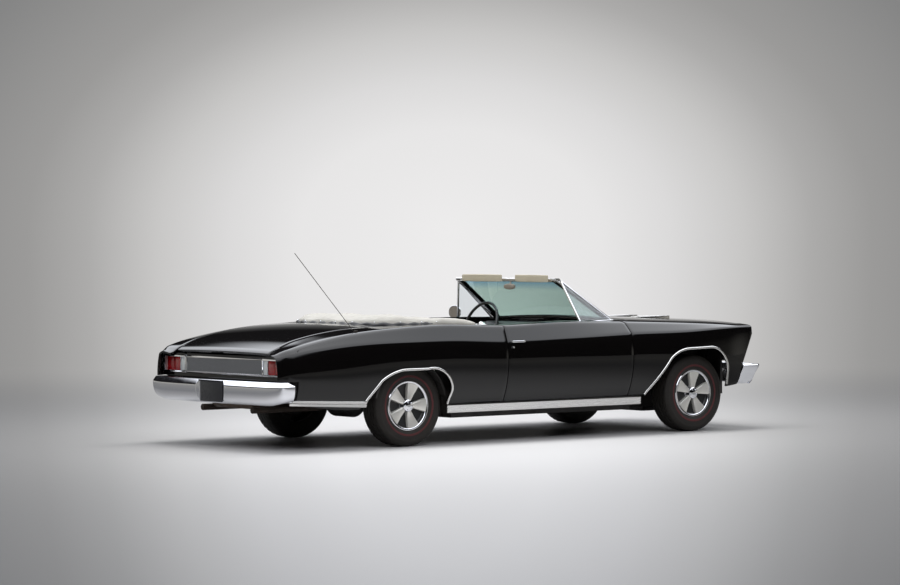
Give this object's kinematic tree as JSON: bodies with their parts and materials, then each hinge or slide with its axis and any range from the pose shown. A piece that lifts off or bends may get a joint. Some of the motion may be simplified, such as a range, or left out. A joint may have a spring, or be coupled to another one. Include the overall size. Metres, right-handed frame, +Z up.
{
  "type": "two-door convertible car",
  "caption": "Two-door convertible muscle car with opening doors, hood and trunk lid, turning steering and rolling wheels, its cloth top stowed under a boot.",
  "frame": {"origin": "on the ground, under the middle of the car's length and width", "axes": "+X towards the front of the car, +Y to the driver's left, +Z up"},
  "size_m": [5.0036, 1.9429, 1.4917],
  "materials": {
    "body_paint": "gloss black paint, clear coated",
    "frame_paint": "satin black chassis paint",
    "floor_paint": "satin black paint",
    "chrome": "polished chrome plate",
    "bright_trim": "bright rolled stainless trim",
    "plate": "blank dark plate",
    "tyre": "black sidewall with a thin dark red line",
    "cast_iron": "bare and oily cast iron",
    "engine_paint": "dull blue engine enamel",
    "tank": "weathered brown plated steel",
    "exhaust": "heat stained and rusty steel",
    "glass": "lightly green-tinted glass",
    "dash": "dark grained padding",
    "wheel_rim": "black moulded rim",
    "seat_vinyl": "off-white grained vinyl",
    "boot_vinyl": "white grained vinyl over folded cloth",
    "visor": "cream padded vinyl",
    "grille": "dark grille in a bright frame",
    "lamp_glass": "clear pressed glass",
    "tail_red": "red lens",
    "insert": "charcoal textured insert"
  },
  "bodies": {
    "body": {"front_fenders": "body_paint", "rear_quarters": "body_paint", "cowl_panel": "body_paint", "deck_filler": "body_paint", "nose_panel": "body_paint", "tail_panel": "body_paint", "chassis_frame": "frame_paint", "floor_tub": "floor_paint", "trunk_tub": "floor_paint", "inner_fenders": "floor_paint", "front_bumper": "chrome", "rear_bumper": "chrome", "rear_plate": "plate", "front_suspension": "frame_paint", "rear_axle": "frame_paint", "engine": "engine_paint", "fuel_tank": "tank", "exhaust": "exhaust", "windshield_frame": "bright_trim", "windshield_glass": "glass", "dash": "dash", "front_seats": "seat_vinyl", "rear_seat": "seat_vinyl", "top_boot": "boot_vinyl", "header_trim": "visor", "grille": "grille", "lamp_housings": "bright_trim", "headlamps": "lamp_glass", "tail_insert": "insert", "tail_lamps": "tail_red", "side_mouldings": "bright_trim", "antenna": "bright_trim"},
    "door_left": {"door_left": "body_paint", "door_trim_left": "chrome", "vent_glass_left": "glass"},
    "door_right": {"door_right": "body_paint", "door_trim_right": "chrome", "vent_glass_right": "glass"},
    "hood": {"hood": "body_paint", "hood_vents": "bright_trim"},
    "trunk_lid": {"trunk_lid": "body_paint"},
    "steering_wheel": {"steering_wheel": "wheel_rim"},
    "knuckle_left": {"knuckle_left": "cast_iron"},
    "knuckle_right": {"knuckle_right": "cast_iron"},
    "wheel_front_left": {"wheel_front_left": "chrome", "tyre_front_left": "tyre"},
    "wheel_front_right": {"wheel_front_right": "chrome", "tyre_front_right": "tyre"},
    "wheel_rear_left": {"wheel_rear_left": "chrome", "tyre_rear_left": "tyre"},
    "wheel_rear_right": {"wheel_rear_right": "chrome", "tyre_rear_right": "tyre"}
  },
  "joints": [
    {"name": "door_left_hinge", "type": "hinge", "parent": "body", "child": "door_left", "pos_m": [0.884, 0.93363, 0.64], "axis": [0, 0, -1], "range_deg": [0, 65]},
    {"name": "door_right_hinge", "type": "hinge", "parent": "body", "child": "door_right", "pos_m": [0.884, -0.93363, 0.64], "axis": [0, 0, 1], "range_deg": [0, 65]},
    {"name": "hood_hinge", "type": "hinge", "parent": "body", "child": "hood", "pos_m": [1.042, 0, 0.94931], "axis": [0, -1, 0], "range_deg": [0, 55]},
    {"name": "trunk_lid_hinge", "type": "hinge", "parent": "body", "child": "trunk_lid", "pos_m": [-1.468, 0, 0.93619], "axis": [0, 1, 0], "range_deg": [0, 60]},
    {"name": "steering_wheel_turn", "type": "hinge", "parent": "body", "child": "steering_wheel", "pos_m": [0.43, 0.385, 0.87], "axis": [-0.9272, 0, 0.3746], "range_deg": [-560, 560]},
    {"name": "steer_left", "type": "hinge", "parent": "body", "child": "knuckle_left", "pos_m": [1.697, 0.69, 0.315], "axis": [0, 0, 1], "range_deg": [-32, 32]},
    {"name": "steer_right", "type": "hinge", "parent": "body", "child": "knuckle_right", "pos_m": [1.697, -0.69, 0.315], "axis": [0, 0, 1], "range_deg": [-32, 32]},
    {"name": "wheel_spin_front_left", "type": "hinge", "parent": "knuckle_left", "child": "wheel_front_left", "pos_m": [1.697, 0.7365, 0.315], "axis": [0, 1, 0], "continuous": true},
    {"name": "wheel_spin_front_right", "type": "hinge", "parent": "knuckle_right", "child": "wheel_front_right", "pos_m": [1.697, -0.7365, 0.315], "axis": [0, 1, 0], "continuous": true},
    {"name": "wheel_spin_rear_left", "type": "hinge", "parent": "body", "child": "wheel_rear_left", "pos_m": [-1.224, 0.7365, 0.315], "axis": [0, 1, 0], "continuous": true},
    {"name": "wheel_spin_rear_right", "type": "hinge", "parent": "body", "child": "wheel_rear_right", "pos_m": [-1.224, -0.7365, 0.315], "axis": [0, 1, 0], "continuous": true}
  ],
  "couplings": [
    {"joint": "steer_left", "follows": "steering_wheel_turn", "ratio": 0.057143},
    {"joint": "steer_right", "follows": "steering_wheel_turn", "ratio": 0.057143}
  ]
}
